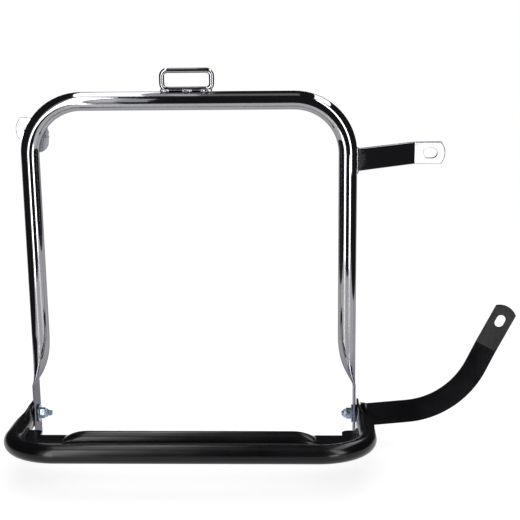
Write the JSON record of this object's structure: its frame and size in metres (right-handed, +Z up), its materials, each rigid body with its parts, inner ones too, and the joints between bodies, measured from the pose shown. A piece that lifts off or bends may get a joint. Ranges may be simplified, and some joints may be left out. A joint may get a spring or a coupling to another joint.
{
  "type": "pannier frame",
  "caption": "Motorbike pannier frame for the right side: upright chromed tube hoop with strap loop and slotted fixing brackets, bolted to a black tube shelf with a curved lower strut.",
  "frame": {"origin": "front upper fixing: the middle of the slot, on the inner face of the front upper bracket's tab", "axes": "+X forward along the bike, +Y inward to the bike, +Z up"},
  "size_m": [0.5093, 0.2141, 0.3836],
  "materials": {
    "chrome": "polished chrome plate",
    "black_coat": "satin black powder coat",
    "zinc": "bright zinc plate"
  },
  "bodies": {
    "root": {"hoop": "chrome", "strap_loop": "chrome", "front_upper_bracket": "chrome", "rear_upper_bracket": "chrome", "outer_rail": "black_coat", "inner_rail": "black_coat", "lower_strut": "black_coat", "rear_bolt": "zinc", "rear_nut": "zinc", "rear_nut_washer": "zinc", "rear_spacer_washer": "zinc", "rear_head_washer": "zinc", "front_bolt": "zinc", "front_nut": "zinc", "front_nut_washer": "zinc", "front_spacer_washer": "zinc", "front_strut_washer": "zinc", "front_head_washer": "zinc"}
  },
  "joints": []
}
